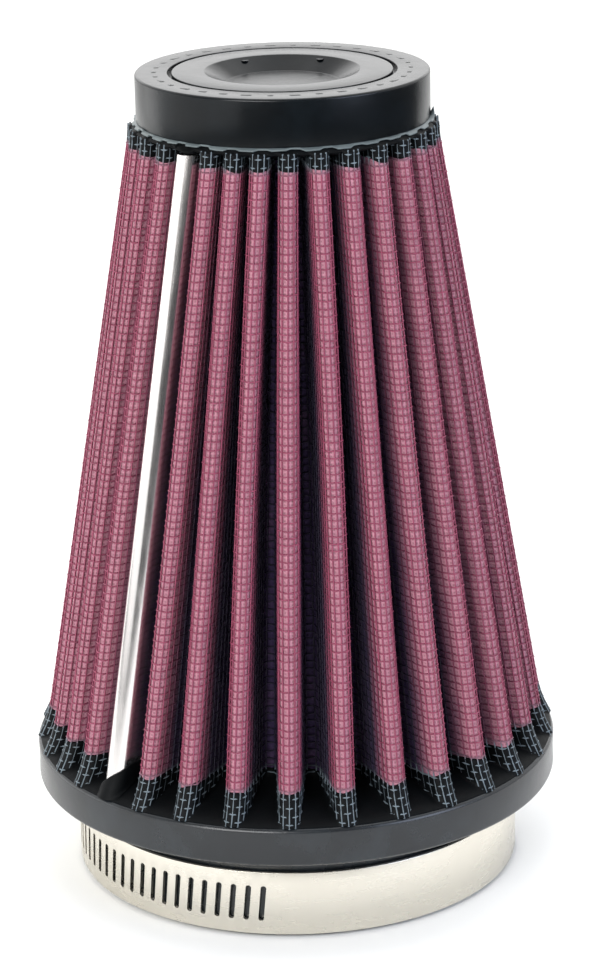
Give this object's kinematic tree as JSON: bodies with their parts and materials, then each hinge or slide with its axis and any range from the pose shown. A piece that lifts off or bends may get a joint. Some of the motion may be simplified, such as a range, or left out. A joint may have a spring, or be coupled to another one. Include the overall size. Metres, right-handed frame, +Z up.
{
  "type": "clamp-on air filter",
  "caption": "Conical pleated air filter with a wire mesh skin, rubber foot and cap, and a worm-drive clamp round its neck.",
  "frame": {"origin": "on the filter's axis, in the plane of the neck's open end", "axes": "+Z up along the filter's axis through the cap; -Y is the front and the clamp's screw housing is at +Y"},
  "size_m": [0.102, 0.1038, 0.157],
  "materials": {
    "foot_rubber": "satin moulded",
    "cap_rubber": "satin moulded",
    "potting": "satin",
    "screen": "coated woven wire",
    "gauze": "oiled cotton gauze",
    "clip_metal": "bright",
    "sealant": "satin",
    "band_steel": "bright rolled",
    "screw_steel": "zinc plated"
  },
  "bodies": {
    "filter": {"base_flange": "foot_rubber", "lower_end_seal": "potting", "outer_screen": "screen", "gauze_ply_1": "gauze", "gauze_ply_2": "gauze", "gauze_ply_3": "gauze", "gauze_ply_4": "gauze", "inner_screen": "screen", "seam_clip": "clip_metal", "seam_sealant": "sealant", "upper_end_seal": "potting", "top_cap": "cap_rubber"},
    "clamp": {"clamp_band": "band_steel", "clamp_housing": "band_steel", "clamp_saddle": "band_steel"},
    "tail": {"band_tail": "band_steel"},
    "screw": {"clamp_screw": "screw_steel"}
  },
  "joints": [
    {"name": "clamp_turn", "type": "hinge", "parent": "filter", "child": "clamp", "pos_m": [0, 0, 0.00715], "axis": [0, 0, 1], "continuous": true},
    {"name": "screw_turn", "type": "hinge", "parent": "clamp", "child": "screw", "pos_m": [0, 0.0486, 0.00715], "axis": [1, 0, 0], "range_deg": [-1080, 2880]},
    {"name": "tail_draw", "type": "hinge", "parent": "clamp", "child": "tail", "pos_m": [0, 0, 0.00715], "axis": [0, 0, 1], "range_deg": [-11.43, 30.48]}
  ],
  "couplings": [
    {"joint": "tail_draw", "follows": "screw_turn", "ratio": 0.010583}
  ]
}
